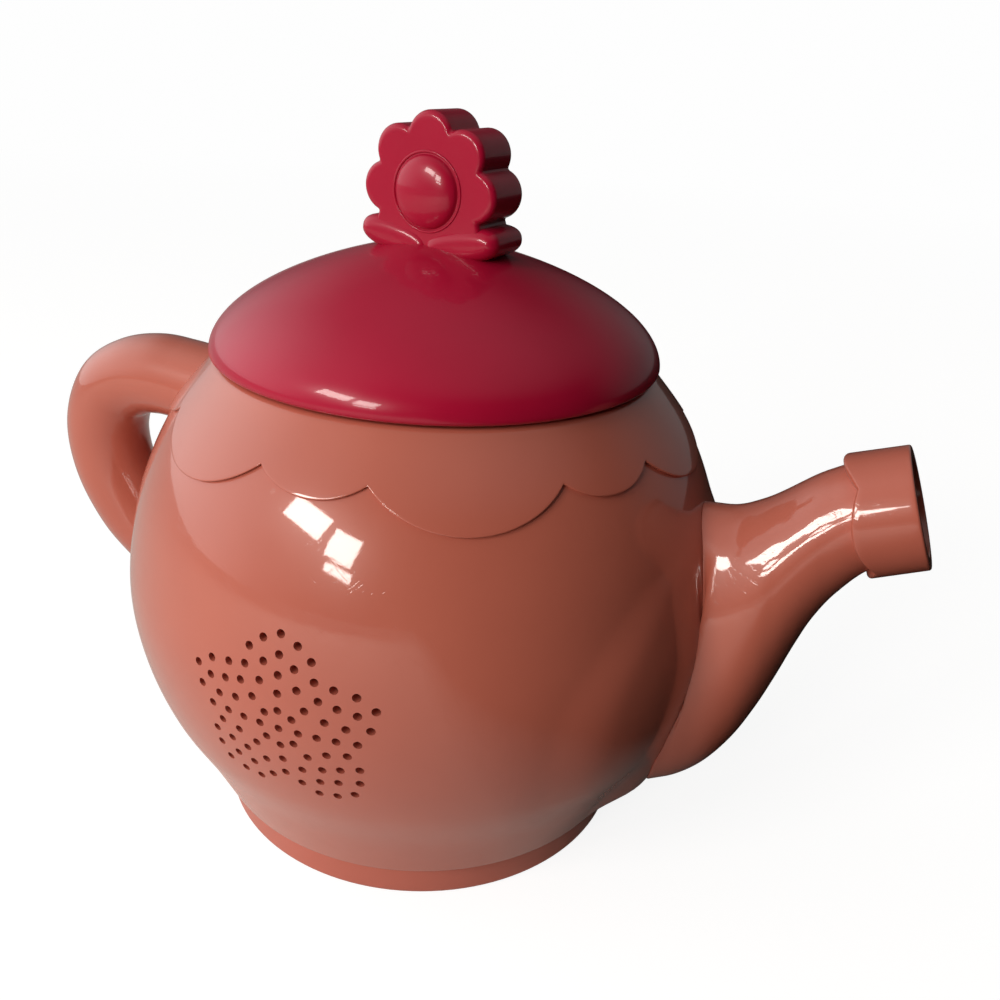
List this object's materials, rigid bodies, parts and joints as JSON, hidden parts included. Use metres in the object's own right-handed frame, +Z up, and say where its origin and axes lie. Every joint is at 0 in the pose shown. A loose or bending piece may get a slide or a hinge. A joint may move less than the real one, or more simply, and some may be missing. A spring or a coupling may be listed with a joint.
{
  "type": "toy teapot",
  "caption": "Round moulded toy teapot with a lift-off flower-knob lid, spout, loop handle, speaker grille and a battery bay in its base.",
  "frame": {"origin": "on the pot's axis at the level of the floor, in the middle of the foot ring", "axes": "+Z up along the pot's axis, +X towards the spout, the handle towards -X, the speaker grille faces -Y"},
  "size_m": [0.1985, 0.128, 0.1497],
  "materials": {
    "clay_gloss": "glossy moulded plastic with fine scratches",
    "clay_deep": "glossy moulded plastic",
    "crimson_gloss": "glossy moulded plastic",
    "screw_steel": "zinc plated steel",
    "ball_steel": "polished steel",
    "frame_steel": "pressed steel",
    "cone_black": "matte cone with a rolled edge",
    "magnet_iron": "dark ceramic magnet with an iron cap",
    "gasket_foam": "soft foam ring",
    "board_green": "solder-masked board",
    "black_plastic": "matte black plastic",
    "white_plastic": "matte white plastic",
    "blue_sleeve": "shrink sleeve",
    "tin": "tinned sheet",
    "cell_wrap": "printed-free plastic wrap over a steel can",
    "red_wire": "soft insulation",
    "black_wire": "soft insulation"
  },
  "bodies": {
    "pot": {"body_front": "clay_gloss", "body_rear": "clay_gloss", "collar": "clay_gloss", "base": "clay_deep", "handle_front": "clay_gloss", "handle_rear": "clay_gloss", "spout": "clay_gloss", "spout_cuff": "clay_gloss", "inner_cup": "clay_gloss", "speaker_frame": "frame_steel", "speaker_cone": "cone_black", "speaker_magnet": "magnet_iron", "speaker_gasket": "gasket_foam", "speaker_screws": "screw_steel", "circuit_board": "board_green", "sound_chip": "black_plastic", "capacitors": "blue_sleeve", "board_screws": "screw_steel", "tilt_case": "tin", "switch_case": "white_plastic", "batteries": "cell_wrap", "battery_springs": "screw_steel", "battery_contacts": "tin", "base_screws": "screw_steel", "spout_screws": "screw_steel", "speaker_leads": "red_wire", "battery_leads": "black_wire"},
    "lid": {"lid_shell": "crimson_gloss", "lid_skirt": "crimson_gloss", "flower_front": "crimson_gloss", "flower_rear": "crimson_gloss", "flower_centre": "crimson_gloss", "knob_screw": "screw_steel"},
    "door": {"battery_door": "clay_deep", "door_screw": "screw_steel"},
    "slider": {"switch_slider": "black_plastic"},
    "ball": {"tilt_ball": "ball_steel"}
  },
  "joints": [
    {"name": "lid_lift", "type": "slide", "parent": "pot", "child": "lid", "axis": [0, 0, 1], "range_m": [0, 0.04]},
    {"name": "door_hinge", "type": "hinge", "parent": "pot", "child": "door", "pos_m": [-0.02745, 0, 0.00375], "axis": [0, 1, 0], "range_deg": [0, 85]},
    {"name": "power_slide", "type": "slide", "parent": "pot", "child": "slider", "axis": [1, 0, 0], "range_m": [0, 0.004]},
    {"name": "tilt_roll", "type": "slide", "parent": "pot", "child": "ball", "axis": [1, 0, 0], "range_m": [0, 0.005]}
  ]
}
